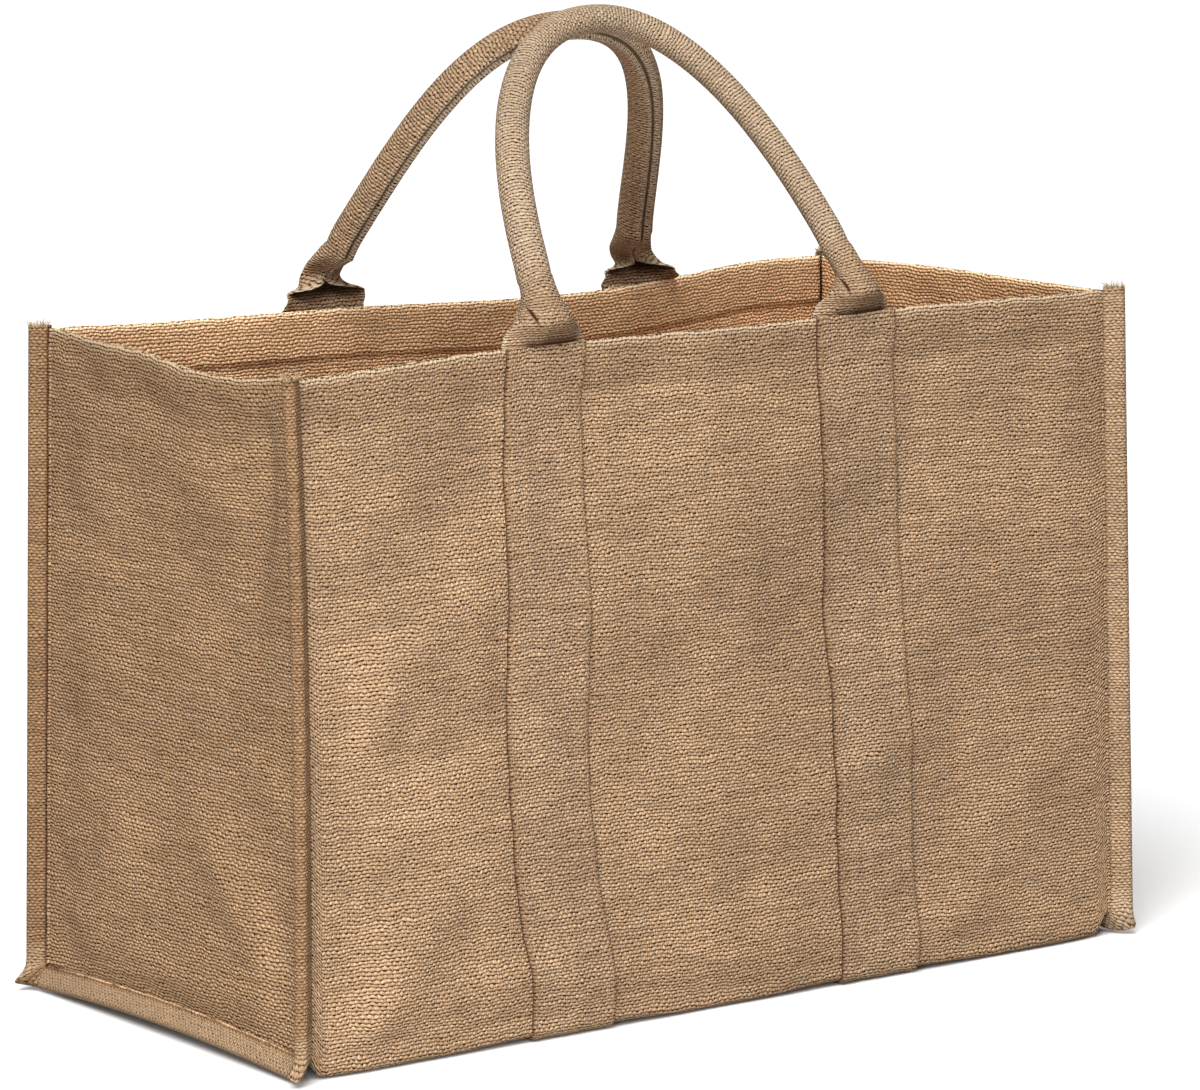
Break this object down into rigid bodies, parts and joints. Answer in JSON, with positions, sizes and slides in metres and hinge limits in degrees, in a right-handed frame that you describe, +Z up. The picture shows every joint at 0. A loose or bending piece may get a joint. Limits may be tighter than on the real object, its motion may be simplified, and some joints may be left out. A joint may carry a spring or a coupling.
{
  "type": "jute tote bag",
  "caption": "Open box-shaped jute carrier with bound side seams and rolled loop handles that run on as straps sewn down its faces.",
  "frame": {"origin": "on the floor under the middle of the bag", "axes": "+Z up, X along the bag's width, -Y out of the front panel"},
  "size_m": [0.5394, 0.2835, 0.5115],
  "materials": {
    "jute_cloth": "plain woven jute, matt",
    "jute_binding": "plain woven jute strip, matt",
    "jute_strap": "plain woven jute, paler, matt"
  },
  "bodies": {
    "root": {"main_panel": "jute_cloth", "gusset_left": "jute_cloth", "gusset_right": "jute_cloth", "binding_left": "jute_binding", "binding_right": "jute_binding", "strap_front": "jute_strap", "strap_back": "jute_strap"}
  },
  "joints": []
}
